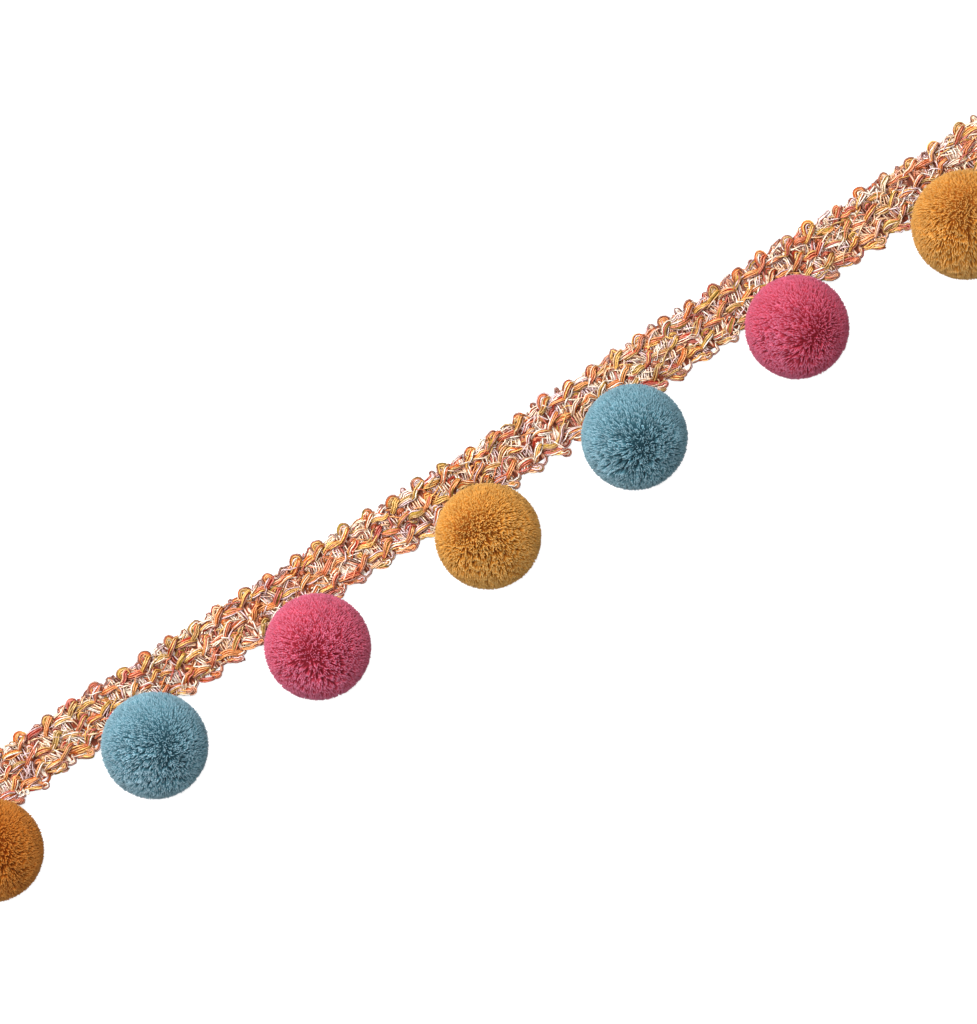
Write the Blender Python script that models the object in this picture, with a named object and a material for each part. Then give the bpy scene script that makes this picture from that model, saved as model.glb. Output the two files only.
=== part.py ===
"""A straight cut length of pompom trim, lying flat.

A multicoloured braided tape carries a row of round cut-pile pompoms along one edge.
X runs along the tape, +Y points to the tape's looped edge and the pompoms sit along its -Y edge.
Everything rests on z = 0, with the origin under the middle of the bounding box.
"""

from collections import namedtuple
import math

import bmesh
import bpy

MM = 0.001

# Pompoms: cut-pile balls with a small flat spot where each one rests.
POMPOM_RADIUS = 12.4 * MM
POMPOM_CENTRE_HEIGHT = 12.1 * MM
POMPOM_SEGMENTS = 20
POMPOM_RINGS = 12

# Tape: a flat braid with rounded edges, measured from its centreline.
TAPE_HALF_LENGTH = 155.0 * MM
TAPE_CENTRE_Y = 9.45 * MM
TAPE_THICKNESS = 2.4 * MM
LOOP_EDGE = 6.45 * MM
LOOP_HEIGHT = 0.75 * MM
TIP_EDGE = 6.55 * MM
TIP_HEIGHT = 0.85 * MM
STITCH_PITCH = 6.96 * MM
LOOP_PHASE = 1.9 * MM
TIP_PHASE = -0.4 * MM
STATIONS_PER_STITCH = 6

# The edge's section: a short slope underneath, an upright side and a longer slope on top.
UNDER_SLOPE = 0.6 * MM
SIDE_BOTTOM = 0.7 * MM
SIDE_TOP = 1.4 * MM
TOP_SLOPE = 1.0 * MM

# Clearance between a pompom and the tape's edge tucked under it.
SEAT_GAP = 0.3 * MM

Waypoint = namedtuple("Waypoint", "x sway")
Pompom = namedtuple("Pompom", "name x drop yarn")

# How far the tape's centreline sways sideways from straight, in millimetres.
CENTRELINE = (
    Waypoint(-155.0, 0.1),
    Waypoint(-122.0, 0.3),
    Waypoint(-108.0, 0.35),
    Waypoint(-80.0, -0.1),
    Waypoint(-56.0, 0.2),
    Waypoint(-37.0, -0.1),
    Waypoint(-23.0, -0.05),
    Waypoint(-9.0, -0.5),
    Waypoint(8.0, -0.75),
    Waypoint(19.0, -0.35),
    Waypoint(33.0, 0.0),
    Waypoint(76.0, -0.1),
    Waypoint(90.0, 0.35),
    Waypoint(109.0, 0.0),
    Waypoint(125.0, 0.35),
    Waypoint(155.0, 0.4),
)

# Each pompom's place along the row and its drop below the centreline, in millimetres.
POMPOMS = (
    Pompom("pompom_1_mustard", -136.7, 12.9, "mustard"),
    Pompom("pompom_2_blue", -91.0, 12.9, "blue"),
    Pompom("pompom_3_pink", -46.1, 14.2, "pink"),
    Pompom("pompom_4_mustard", 1.8, 13.4, "mustard"),
    Pompom("pompom_5_blue", 43.5, 13.2, "blue"),
    Pompom("pompom_6_pink", 89.8, 12.6, "pink"),
    Pompom("pompom_7_mustard", 136.4, 14.0, "mustard"),
)

YARN_COLOURS = {
    "mustard": (0.42, 0.17, 0.03),
    "blue": (0.09, 0.19, 0.24),
    "pink": (0.42, 0.06, 0.10),
    "braid": (0.62, 0.30, 0.20),
}
YARN_ROUGHNESS = 0.85


def clear_scene():
    """Remove every object that the scene starts with."""
    for item in list(bpy.data.objects):
        bpy.data.objects.remove(item, do_unlink=True)


def yarn_material(name):
    """A matt yarn in one of the trim's colours."""
    material = bpy.data.materials.new("yarn_" + name)
    material.use_nodes = True
    shader = material.node_tree.nodes["Principled BSDF"]
    shader.inputs["Base Color"].default_value = (*YARN_COLOURS[name], 1.0)
    shader.inputs["Roughness"].default_value = YARN_ROUGHNESS
    shader.inputs["Metallic"].default_value = 0.0
    return material


def place_mesh(name, work, material):
    """Turn the finished bmesh into a named object in the scene."""
    mesh = bpy.data.meshes.new(name)
    work.to_mesh(mesh)
    work.free()
    mesh.materials.append(material)
    item = bpy.data.objects.new(name, mesh)
    bpy.context.scene.collection.objects.link(item)
    return item


def centreline_y(x):
    """Sideways place of the tape's centreline, eased by a cosine between waypoints."""
    for start, end in zip(CENTRELINE, CENTRELINE[1:]):
        if x <= end.x * MM:
            share = (x - start.x * MM) / ((end.x - start.x) * MM)
            ease = 0.5 - 0.5 * math.cos(math.pi * min(max(share, 0.0), 1.0))
            return TAPE_CENTRE_Y + (start.sway + (end.sway - start.sway) * ease) * MM
    return TAPE_CENTRE_Y + CENTRELINE[-1].sway * MM


def pompom_centre(pompom):
    """Plan position of a pompom's centre."""
    x = pompom.x * MM
    return x, centreline_y(x) - pompom.drop * MM


def seat_radius():
    """Plan radius round a pompom's centre that the tape's edge keeps out of.

    The edge's upper corner stands one slope further out, at the tape's full thickness,
    where it has to clear the round underside of the ball by the seat gap.
    """
    reach = POMPOM_RADIUS + SEAT_GAP
    rise = POMPOM_CENTRE_HEIGHT - TAPE_THICKNESS
    return math.sqrt(reach ** 2 - rise ** 2) - TOP_SLOPE


def loop_edge_y(x):
    """The +Y edge: one rounded loop for each stitch."""
    wave = math.cos(2.0 * math.pi * (x - LOOP_PHASE) / STITCH_PITCH)
    return centreline_y(x) + LOOP_EDGE + LOOP_HEIGHT * wave


def tip_edge_y(x):
    """The -Y edge: one tip for each stitch, drawn back round each pompom's seat."""
    wave = math.cos(2.0 * math.pi * (x - TIP_PHASE) / STITCH_PITCH)
    edge = centreline_y(x) - TIP_EDGE - TIP_HEIGHT * wave
    keep_out = seat_radius()
    for pompom in POMPOMS:
        centre_x, centre_y = pompom_centre(pompom)
        aside = x - centre_x
        if abs(aside) < keep_out:
            edge = max(edge, centre_y + math.sqrt(keep_out ** 2 - aside ** 2))
    return edge


def tape_section(x):
    """Eight corners of the tape's section at one station, counted from the -Y underside."""
    low = tip_edge_y(x)
    high = loop_edge_y(x)
    corners = (
        (low + UNDER_SLOPE, 0.0),
        (high - UNDER_SLOPE, 0.0),
        (high, SIDE_BOTTOM),
        (high, SIDE_TOP),
        (high - TOP_SLOPE, TAPE_THICKNESS),
        (low + TOP_SLOPE, TAPE_THICKNESS),
        (low, SIDE_TOP),
        (low, SIDE_BOTTOM),
    )
    return [(x, y, z) for y, z in corners]


def build_tape():
    """Loft the tape's section along its length and close both cut ends."""
    stitches = round(2.0 * TAPE_HALF_LENGTH / STITCH_PITCH)
    steps = stitches * STATIONS_PER_STITCH
    work = bmesh.new()
    rings = []
    for step in range(steps + 1):
        x = -TAPE_HALF_LENGTH + 2.0 * TAPE_HALF_LENGTH * step / steps
        rings.append([work.verts.new(corner) for corner in tape_section(x)])
    for ring, following in zip(rings, rings[1:]):
        for side in range(len(ring)):
            after = (side + 1) % len(ring)
            work.faces.new((ring[side], following[side], following[after], ring[after]))
    work.faces.new(rings[0])
    work.faces.new(reversed(rings[-1]))
    bmesh.ops.recalc_face_normals(work, faces=work.faces)
    return place_mesh("braid_tape", work, yarn_material("braid"))


def build_pompom(pompom, material):
    """A ball of cut pile, pressed flat for a few millimetres where it rests."""
    work = bmesh.new()
    bmesh.ops.create_uvsphere(
        work,
        u_segments=POMPOM_SEGMENTS,
        v_segments=POMPOM_RINGS,
        radius=POMPOM_RADIUS,
    )
    for vert in work.verts:
        vert.co.z = max(vert.co.z, -POMPOM_CENTRE_HEIGHT)
    item = place_mesh(pompom.name, work, material)
    item.location = (*pompom_centre(pompom), POMPOM_CENTRE_HEIGHT)
    item.data.shade_smooth()
    return item


def main():
    """Build the tape and its row of pompoms."""
    clear_scene()
    build_tape()
    materials = {pompom.yarn: yarn_material(pompom.yarn) for pompom in POMPOMS}
    for pompom in POMPOMS:
        build_pompom(pompom, materials[pompom.yarn])


main()
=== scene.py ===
"""Looks of a straight length of pompom trim: a plaited multicoloured braid with seven cut-pile pompoms.

Lengths are in millimetres until a mesh is made. X runs along the braid, Y across it, Z up.
The braid is plaited from bundles of fine strands, and every bundle follows a short smooth path
that is repeated once a stitch. A pompom is a round core, dark with painted shade, with thousands of leaning
tufts.
"""

from collections import namedtuple

import bpy
import numpy as np
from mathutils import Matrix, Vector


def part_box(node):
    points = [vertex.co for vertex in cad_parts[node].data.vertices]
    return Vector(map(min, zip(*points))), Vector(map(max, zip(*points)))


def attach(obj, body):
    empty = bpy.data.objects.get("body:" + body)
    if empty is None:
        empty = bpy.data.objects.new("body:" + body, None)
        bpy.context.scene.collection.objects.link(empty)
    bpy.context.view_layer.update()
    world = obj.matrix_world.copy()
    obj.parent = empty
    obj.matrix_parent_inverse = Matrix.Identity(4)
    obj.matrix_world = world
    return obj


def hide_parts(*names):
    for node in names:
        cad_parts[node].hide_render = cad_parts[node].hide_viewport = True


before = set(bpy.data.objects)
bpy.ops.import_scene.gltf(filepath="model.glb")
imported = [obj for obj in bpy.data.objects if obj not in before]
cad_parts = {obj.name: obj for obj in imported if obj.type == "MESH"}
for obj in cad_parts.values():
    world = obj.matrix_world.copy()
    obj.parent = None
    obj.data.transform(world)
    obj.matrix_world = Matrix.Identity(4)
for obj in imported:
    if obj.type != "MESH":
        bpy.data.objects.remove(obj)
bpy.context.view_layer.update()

MM = 0.001
TURN = 2.0 * np.pi
TINY = 1e-9
draw = np.random.default_rng(4513)

# ---------------------------------------------------------------- sizes of the braid

TAPE_LOW, TAPE_HIGH = (np.array(corner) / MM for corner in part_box("braid_tape"))
TAPE_CENTRE_Y = 9.45
STITCH = 6.957
FIRST_LOOP = 1.6
STITCH_JITTER = 0.22
ROOM_BEFORE, ROOM_AFTER = 3.8, 5.4
# The braid's slow sway: places along it, and how far aside its centreline lies there.
SWAY_X = (-155, -122, -108, -80, -56, -37, -23, -9, 8, 19, 33, 76, 90, 109, 125, 155)
SWAY_Y = (0.1, 0.3, 0.35, -0.1, 0.2, -0.1, -0.05, -0.5, -0.75, -0.35, 0.0, -0.1, 0.35, 0.0, 0.35, 0.4)
ROW_FEET = (3.55, -0.35, -4.25)
# A strand's radius, its spread from strand to strand, and how each one swells and thins on its way.
STRAND_RADIUS = 0.192
STRAND_SIZES = (0.8, 1.15)
STRAND_SWELLS = (0.82, 1.15)
# Between these places the stitches lie further along than an even pitch, by this much at the most.
DRIFT_START, DRIFT_END, DRIFT = -9.0, 66.0, 0.8

# ---------------------------------------------------------------- sizes of the pompoms

PILE_LENGTH = 3.2
# How deep the core lies under the tips, and how much deeper where the pile is ruffled.
CORE_DEPTH = 0.8
RUFFLED_DEPTH = 1.0
# Least heights above the floor: of the core, of a tuft's tip and of any corner.
CORE_FOOT, TIP_GAP, FLOOR_GAP = 1.0, 0.1, 0.03
TUFTS = 12500
CLUMPS = 1900
LOCKS = 480
# How ruffled the pile is: a slope times how far a direction faces this side, less an offset.
RUFFLED_SIDE = np.array([-0.25, -0.43, 0.87])
RUFFLED_SLOPE, RUFFLED_OFFSET = 1.35, 0.35

# Each pompom's node and dye, the way its pile is combed along and across the braid, how full it
# is, and the tone its dye took, as shares of red, green and blue light. The last number starts
# its random draws.
POMPOMS = (
    ("pompom_1_mustard", "mustard", (0.05, -0.05), 0.985, (0.84, 0.62, 0.42), 11),
    ("pompom_2_blue", "blue", (-0.04, 0.07), 1.015, (1.05, 1.06, 1.06), 22),
    ("pompom_3_pink", "pink", (0.05, 0.03), 1.01, (1.03, 1.07, 1.02), 23),
    ("pompom_4_mustard", "mustard", (0.08, -0.04), 1.005, (1.03, 1.06, 1.03), 14),
    ("pompom_5_blue", "blue", (-0.02, 0.085), 1.005, (0.93, 0.98, 0.98), 15),
    ("pompom_6_pink", "pink", (-0.08, 0.06), 0.985, (0.96, 0.91, 0.88), 16),
    ("pompom_7_mustard", "mustard", (-0.1, -0.12), 1.04, (1.0, 1.0, 1.0), 17),
)


def ball_of(node):
    """A pompom's centre and radius, from its box: the small flat spot below leaves its top true."""
    low, high = (np.array(corner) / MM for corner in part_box(node))
    radius = (high[0] - low[0]) / 2.0
    return np.array([(low[0] + high[0]) / 2.0, (low[1] + high[1]) / 2.0, high[2] - radius]), radius


POMPOM_PLACES = [ball_of(row[0]) for row in POMPOMS]
# A pile reaches this share of its pompom's radius, and the braid keeps this gap to it. A strand is
# pressed down to this height before it starts to move aside.
PILE_REACH = 1.03
SEAT_GAP = 0.25
PRESSED = 0.7

# ---------------------------------------------------------------- dyes

# A dye by its display values, 0 to 255. No bundle is dyed mauve; it holds its place in the table,
# because each dye has its own row of random waves, in this order.
Yarn = namedtuple("Yarn", "red green blue")
DYES = {
    "gold": Yarn(242, 188, 78),
    "olive": Yarn(196, 154, 64),
    "amber": Yarn(238, 150, 58),
    "ember": Yarn(222, 108, 44),
    "red": Yarn(196, 58, 34),
    "rose": Yarn(222, 148, 112),
    "peach": Yarn(242, 198, 156),
    "cream": Yarn(250, 233, 213),
    "lilac": Yarn(226, 200, 214),
    "pearl": Yarn(251, 246, 242),
    "plum": Yarn(128, 66, 68),
    "umber": Yarn(140, 56, 28),
    "mauve": Yarn(208, 152, 154),
    "slate": Yarn(114, 62, 44),
}
DYE_NAMES = tuple(DYES)
# Each dye is favoured in patches, where a sum of a few waves over the braid is high.
PATCH_COUNT, PATCH_PITCH = 4, 0.75
PATCH_WAVES = draw.normal(0.0, PATCH_PITCH, (len(DYES), PATCH_COUNT, 2))
PATCH_PHASES = draw.uniform(0.0, TURN, (len(DYES), PATCH_COUNT))
# How much the patches, and the chance taste of a bundle, a strand and a place on it, each count.
PATCHINESS = 2.6
BUNDLE_TASTE = 1.8
STRAND_TASTE = 0.65
PLACE_TASTE = 0.7
DYE_PLACES = 5
DYE_STRENGTHS = (0.92, 1.11)
# A bundle has more or fewer pale strands than its kind's share, and more at its edges than inside.
PALE_MULTIPLES = (0.6, 1.05, 1.75)
PALE_INSIDE, PALE_MORE_AT_EDGE = 0.6, 0.8
LONE_STRAND_EDGE = 0.5
# A strand's flanks are darkened by this tint as painted shade, and its ridges take this share of this light
# as a painted highlight.
FLANK_SHADE = np.array([0.525, 0.35, 0.185])
HIGHLIGHT_COLOUR = np.array([1.0, 0.87, 0.7])
HIGHLIGHT_SHARE = 0.19
# The painted shade on the flanks lifts by this much at the braid's edges, where more light reaches; it
# begins at one distance from the centreline and is whole at the other.
OPEN_EDGE = 0.4
OPEN_FROM, OPEN_WHOLLY = 5.4, 6.9
# The bundles' cores take these dyes times this painted shade.
CORE_DYES = ("red", "olive", "ember", "ember")
CORE_SHADE = 0.52
# At the ground strip's height a strand has this share of the light, and so far above or below it
# all of it. The last value is the lowest that a strand's middle may lie.
DEEP_SHADE = 0.93
GROUND_Z = 0.72
FRONT_RISE, BACK_DROP = 1.0, 0.48
LOWEST = 0.25
# The usual display curve: straight below its knee, a power above it.
WHITE, KNEE, SLOPE, LIFT, POWER = 255.0, 0.04045, 12.92, 0.055, 2.4


def linear(yarn):
    """Linear light of a dye that is named by its display values, by the usual display curve."""
    shown = np.array(yarn) / WHITE
    return np.where(shown <= KNEE, shown / SLOPE, ((shown + LIFT) / (1.0 + LIFT)) ** POWER)


def centre_y(x):
    """Sideways place of the braid's centreline at x, eased by half a cosine wave from one row to the next."""
    row = np.clip(np.searchsorted(SWAY_X, x) - 1, 0, len(SWAY_X) - 2)
    start, end = np.take(SWAY_X, row), np.take(SWAY_X, row + 1)
    share = np.clip((x - start) / (end - start), 0.0, 1.0)
    ease = 0.5 - 0.5 * np.cos(np.pi * share)
    low, high = np.take(SWAY_Y, row), np.take(SWAY_Y, row + 1)
    return TAPE_CENTRE_Y + low + (high - low) * ease


# ---------------------------------------------------------------- surfaces


def unit(vectors):
    """Vectors scaled to length one."""
    return vectors / np.maximum(np.linalg.norm(vectors, axis=-1, keepdims=True), TINY)


def spline_weights(points, steps):
    """Weights of a Catmull-Rom curve: one row for each step along it, one column for each point.

    Each step takes from the two points it lies between and from the one on either side of them,
    by four cubics of how far between it is.
    """
    along = np.linspace(0.0, points - 1.0, steps)
    span = np.minimum(along.astype(int), points - 2)
    part = along - span
    weights = np.zeros((steps, points))
    blends = (
        -0.5 * part + part**2 - 0.5 * part**3,
        1.0 - 2.5 * part**2 + 1.5 * part**3,
        0.5 * part + 2.0 * part**2 - 1.5 * part**3,
        -0.5 * part**2 + 0.5 * part**3,
    )
    for shift, blend in zip((-1, 0, 1, 2), blends):
        column = np.clip(span + shift, 0, points - 1)
        np.add.at(weights, (np.arange(steps), column), blend)
    return weights


def quads_between(rings, sides):
    """Quads that join each ring of corners to the next one, corner to corner, all the way round."""
    side = np.arange(sides)
    beside = (side + 1) % sides
    start = np.arange(rings - 1)[:, None] * sides
    after = start + sides
    return np.stack([start + side, after + side, after + beside, start + beside], -1).reshape(-1, 4)


Tubes = namedtuple("Tubes", "points quads fans quad_uv fan_uv ridge")


def tubes(paths, radius, sides, flat=1.0):
    """A round section of so many sides carried along each path, with a blunt cone at both ends.

    Radius holds a row for each path, with one value or a value for every step; the section's
    height is flat times its width.

    The section's first corner starts on top and is carried along the path untwisted. The UV runs
    once round the section and counts millimetres along the path. ridge is 1 where a corner looks
    straight up or down and 0 on the strand's flanks.
    """
    count, steps, _ = paths.shape
    ahead = unit(np.gradient(paths, axis=1))
    first = np.empty_like(paths)
    upright = np.array([0.0, 0.0, 1.0])
    first[:, 0] = unit(upright - ahead[:, 0, 2:] * ahead[:, 0])
    for step in range(1, steps):
        kept = np.sum(first[:, step - 1] * ahead[:, step], axis=-1, keepdims=True)
        first[:, step] = unit(first[:, step - 1] - kept * ahead[:, step])
    second = np.cross(ahead, first)
    turn = np.arange(sides) * TURN / sides
    ring = flat * np.cos(turn)[:, None] * first[:, :, None] + np.sin(turn)[:, None] * second[:, :, None]
    corners = paths[:, :, None] + radius[:, :, None, None] * ring
    blunt = flat * radius[:, :1]
    ends = np.stack([paths[:, 0] - ahead[:, 0] * blunt, paths[:, -1] + ahead[:, -1] * blunt], 1)
    each = steps * sides + 2
    points = np.concatenate([corners.reshape(count, -1, 3), ends], axis=1)
    ridge = np.concatenate([np.abs(ring[..., 2] / flat).reshape(count, -1), np.zeros((count, 2))], axis=1)
    side = np.arange(sides)
    beside = (side + 1) % sides
    # These rings run the other way round, so their quads are turned over to face outwards.
    quads = quads_between(steps, sides)[:, (0, 3, 2, 1)]
    last = (steps - 1) * sides
    first_fan = np.stack([np.full(sides, each - 2), beside, side], axis=-1)
    last_fan = np.stack([np.full(sides, each - 1), last + side, last + beside], axis=-1)
    fans = np.concatenate([first_fan, last_fan])
    start = (np.arange(count) * each)[:, None, None]
    span = np.linalg.norm(np.diff(paths, axis=1), axis=-1)
    length = np.concatenate([np.zeros((count, 1)), np.cumsum(span, axis=1)], axis=1)
    low, high = length[:, :-1, None], length[:, 1:, None]
    around = np.stack([side, side + 1, side + 1, side], -1) / sides
    around = np.broadcast_to(around, (count, steps - 1, sides, 4))
    along = np.broadcast_to(np.stack([low, low, high, high], -1), around.shape)
    return Tubes(
        points.reshape(-1, 3),
        (start + quads).reshape(-1, 4),
        (start + fans).reshape(-1, 3),
        np.stack([around, along], -1).reshape(-1, 2),
        np.zeros((count * fans.size, 2)),
        ridge.ravel(),
    )


def make_piece(name, points, faces, dye, material, smooth=True, uv=None):
    """A mesh object from corners in millimetres, arrays of faces and a colour for each corner: its dye with
    any painted shade and highlight.

    Where a UV is given, it has a place for every corner of every face.
    """
    loops = np.concatenate([part.ravel() for part in faces])
    sizes = np.concatenate([np.full(len(part), part.shape[1]) for part in faces])
    mesh = bpy.data.meshes.new(name)
    mesh.vertices.add(len(points))
    mesh.vertices.foreach_set("co", (points * MM).astype(np.float32).ravel())
    mesh.loops.add(len(loops))
    mesh.loops.foreach_set("vertex_index", loops.astype(np.int32))
    mesh.polygons.add(len(sizes))
    mesh.polygons.foreach_set("loop_start", np.concatenate([[0], np.cumsum(sizes)[:-1]]).astype(np.int32))
    mesh.polygons.foreach_set("use_smooth", np.full(len(sizes), smooth))
    mesh.update(calc_edges=True)
    # The dye attribute holds the dye with its painted shade and highlights.
    layer = mesh.color_attributes.new("dye", "FLOAT_COLOR", "POINT")
    layer.data.foreach_set("color", np.column_stack([dye, np.ones(len(dye))]).astype(np.float32).ravel())
    if uv is not None:
        mesh.uv_layers.new(name="strand").uv.foreach_set("vector", uv.astype(np.float32).ravel())
    mesh.materials.append(material)
    item = bpy.data.objects.new(name, mesh)
    bpy.context.scene.collection.objects.link(item)
    return item


# ---------------------------------------------------------------- materials


def fill(node, values):
    """Set values on a node's own sockets, by name."""
    for name, value in values.items():
        node.inputs[name].default_value = value


def new_material(name, roughness, gloss, sheen, sheen_colour=(1.0, 1.0, 1.0, 1.0)):
    """A material with its plain values set, with the nodes, the links and the shader to add to."""
    material = bpy.data.materials.new(name)
    material.use_nodes = True
    shader = material.node_tree.nodes["Principled BSDF"]
    fill(shader, {"Roughness": roughness, "Specular IOR Level": gloss})
    fill(shader, {"Sheen Weight": sheen, "Sheen Roughness": 0.5, "Sheen Tint": sheen_colour})
    return material, material.node_tree.nodes, material.node_tree.links, shader


def multiply(nodes, links, first, second):
    """The product of two colours."""
    product = nodes.new("ShaderNodeMix")
    product.data_type = "RGBA"
    product.blend_type = "MULTIPLY"
    fill(product, {"Factor": 1.0})
    links.new(first, product.inputs["A"])
    links.new(second, product.inputs["B"])
    return product.outputs["Result"]


def raise_surface(nodes, links, shader, height, strength, distance):
    """Bump a material by a height field; distance is in metres."""
    bump = nodes.new("ShaderNodeBump")
    fill(bump, {"Strength": strength, "Distance": distance})
    links.new(height, bump.inputs["Height"])
    links.new(bump.outputs["Normal"], shader.inputs["Normal"])


def dye_of_mesh(nodes):
    """The dye that make_piece stored for each corner, with its painted shade and highlights."""
    dye = nodes.new("ShaderNodeAttribute")
    dye.attribute_name = "dye"
    return dye.outputs["Color"]


def dyed(nodes, links, shader, noise_scale, low, high, strength, ridges=None):
    """Colour from the mesh's dye, with its painted shade and highlights, times noise that is spread from low
    to high.

    The bump follows ridges, or the noise where none are given.
    """
    place = nodes.new("ShaderNodeTexCoord")
    fibres = nodes.new("ShaderNodeTexNoise")
    fill(fibres, {"Scale": noise_scale, "Detail": 3.0})
    links.new(place.outputs["Object"], fibres.inputs["Vector"])
    shade = nodes.new("ShaderNodeMapRange")
    fill(shade, {"From Min": 0.3, "From Max": 0.7, "To Min": low, "To Max": high})
    links.new(fibres.outputs["Fac"], shade.inputs["Value"])
    tint = multiply(nodes, links, dye_of_mesh(nodes), shade.outputs["Result"])
    links.new(tint, shader.inputs["Base Color"])
    height = fibres if ridges is None else ridges
    raise_surface(nodes, links, shader, height.outputs["Fac"], strength, distance=0.0001)


def strand_material():
    """Glossy yarn, lightly ridged by the plies that wind round each strand."""
    material, nodes, links, shader = new_material("braid_yarn", roughness=0.34, gloss=0.5, sheen=0.0)
    strand = nodes.new("ShaderNodeUVMap")
    strand.uv_map = "strand"
    lay = nodes.new("ShaderNodeMapping")
    fill(lay, {"Scale": (1.0, 0.5, 1.0)})
    links.new(strand.outputs["UV"], lay.inputs["Vector"])
    plies = nodes.new("ShaderNodeTexWave")
    plies.bands_direction = "DIAGONAL"
    fill(plies, {"Scale": 0.3})
    links.new(lay.outputs["Vector"], plies.inputs["Vector"])
    dyed(nodes, links, shader, noise_scale=1700.0, low=0.62, high=1.36, strength=0.06, ridges=plies)
    return material


def core_material():
    """Matt mottled yarn for the dark cores of the bundles, which stand in for the shade inside them: painted
    shade.
    """
    material, nodes, links, shader = new_material("braid_inside", roughness=0.8, gloss=0.2, sheen=0.0)
    dyed(nodes, links, shader, noise_scale=900.0, low=0.4, high=1.7, strength=0.8)
    return material


def pile_material(name, haze):
    """Matt cut pile whose grazing fibres catch a little of its own paler colour."""
    material, nodes, links, shader = new_material(
        name, roughness=0.85, gloss=0.05, sheen=0.5, sheen_colour=(*haze, 1.0)
    )
    dyed(nodes, links, shader, noise_scale=700.0, low=0.86, high=1.14, strength=0.15)
    return material


# The strip under the strands is striped in these dyes, from the noise's low values to its high ones; its
# darker stripes partly stand in for the shade deep in the gaps, as painted shade.
BACKING_DYES = (
    (0.42, Yarn(100, 50, 34)),
    (0.46, DYES["umber"]),
    (0.5, DYES["slate"]),
    (0.55, DYES["rose"]),
    (0.6, DYES["cream"]),
)


def backing_material():
    """Matt yarn in thin crosswise stripes of brown, rose and cream, for the strip under the strands; the
    brown stripes are partly painted shade.
    """
    material, nodes, links, shader = new_material("braid_backing", roughness=0.8, gloss=0.2, sheen=0.0)
    place = nodes.new("ShaderNodeTexCoord")
    stretch = nodes.new("ShaderNodeMapping")
    fill(stretch, {"Scale": (1.0, 0.22, 1.0)})
    links.new(place.outputs["Object"], stretch.inputs["Vector"])
    stripes = nodes.new("ShaderNodeTexNoise")
    fill(stripes, {"Scale": 1100.0, "Detail": 1.0})
    links.new(stretch.outputs["Vector"], stripes.inputs["Vector"])
    dyes = nodes.new("ShaderNodeValToRGB")
    ramp = dyes.color_ramp.elements
    first, *between, last = BACKING_DYES
    for element, (position, yarn) in zip(ramp, (first, last)):
        element.position = position
        element.color = (*linear(yarn), 1.0)
    for position, yarn in between:
        ramp.new(position).color = (*linear(yarn), 1.0)
    links.new(stripes.outputs["Fac"], dyes.inputs["Fac"])
    tint = multiply(nodes, links, dyes.outputs["Color"], dye_of_mesh(nodes))
    links.new(tint, shader.inputs["Base Color"])
    raise_surface(nodes, links, shader, stripes.outputs["Fac"], strength=0.6, distance=0.0002)
    return material


# ---------------------------------------------------------------- the braid


def arch(middle, foot, half_width, top, low, high, corners=7):
    """Places along a half ellipse that stands on the line y = foot, lifted from low to high at its top."""
    turn = np.linspace(0.0, np.pi, corners)
    rise = np.sin(turn)
    along = middle - half_width * np.cos(turn)
    return np.column_stack([along, foot + (top - foot) * rise, low + (high - low) * rise])


def curl(stalk, middle, radius, start, end, high, low, corners=7, tall=1.0):
    """A stalk's places, then places round an ellipse from one angle to another, in degrees, sinking evenly.

    The ellipse is tall times as high, across the braid, as it is wide.
    """
    turn = np.radians(np.linspace(start, end, corners))
    across = middle[1] + radius * tall * np.sin(turn)
    ring = [middle[0] + radius * np.cos(turn), across, np.linspace(high, low, corners)]
    return np.vstack([stalk, np.column_stack(ring)])


# One kind of bundle, with the feet of the rows that have it. Its path is a list of places in the
# stitch: along, across and up. So many strands lie side by side, a pitch apart; dome lifts the
# middle ones. Taper is its width at both ends as a share of its middle, loose is how uneven it is,
# and pale is the share of its strands in pale dyes; the rest take the vivid ones. Each strand has
# so many steps along it and sides round it.
Bundle = namedtuple("Bundle", "name rows path strands pitch dome taper loose steps sides vivid pale")

PETAL = (
    (-2.6, -0.5, 0.9), (-2.0, 0.0, 1.8), (-0.8, 0.95, 2.4),
    (0.5, 1.85, 2.4), (1.1, 2.0, 1.8), (1.3, 1.5, 0.9),
)
ARC = arch(middle=0.1, foot=-1.9, half_width=0.8, top=-0.75, low=0.9, high=1.9)
LEG = ((0.2, 0.3, 1.2), (1.6, 0.4, 1.9), (3.2, 0.2, 2.0), (5.0, -0.3, 1.0))
RUNG = ((0.0, -0.3, 1.0), (0.05, -1.2, 1.5), (0.0, -2.2, 1.5), (0.0, -3.3, 1.0))
HEART = ((-0.65, 1.0, 0.9), (-0.6, 2.0, 1.6), (-0.2, 2.55, 1.85), (0.15, 2.0, 1.6), (0.25, 1.0, 0.9))
CROWN = (
    (-1.4, 0.7, 1.0), (-1.35, 1.9, 1.9), (-0.8, 2.8, 2.2),
    (0.1, 3.1, 2.2), (0.9, 2.5, 1.9), (0.9, 1.3, 1.1),
)
EDGE_LOOP = arch(middle=4.05, foot=0.6, half_width=0.5, top=2.62, low=0.9, high=1.7)
EDGE_FLOAT = ((0.9, 1.7, 1.0), (2.2, 1.45, 1.5), (3.4, 1.95, 1.6), (4.6, 2.1, 1.5), (5.9, 2.0, 1.0))
LOW_LEG = ((0.6, -0.75, 1.0), (1.8, -1.05, 1.6), (3.1, -1.15, 1.7), (4.9, -1.2, 1.0))
TIP = ((1.3, -1.2, 0.9), (2.1, -1.62, 1.4), (3.1, -2.05, 1.6), (4.2, -2.52, 1.4), (4.9, -2.5, 0.9))
KNOT_STALK, KNOT_MIDDLE = ((3.5, -1.4, 1.2),), (4.75, -2.52)
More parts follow.
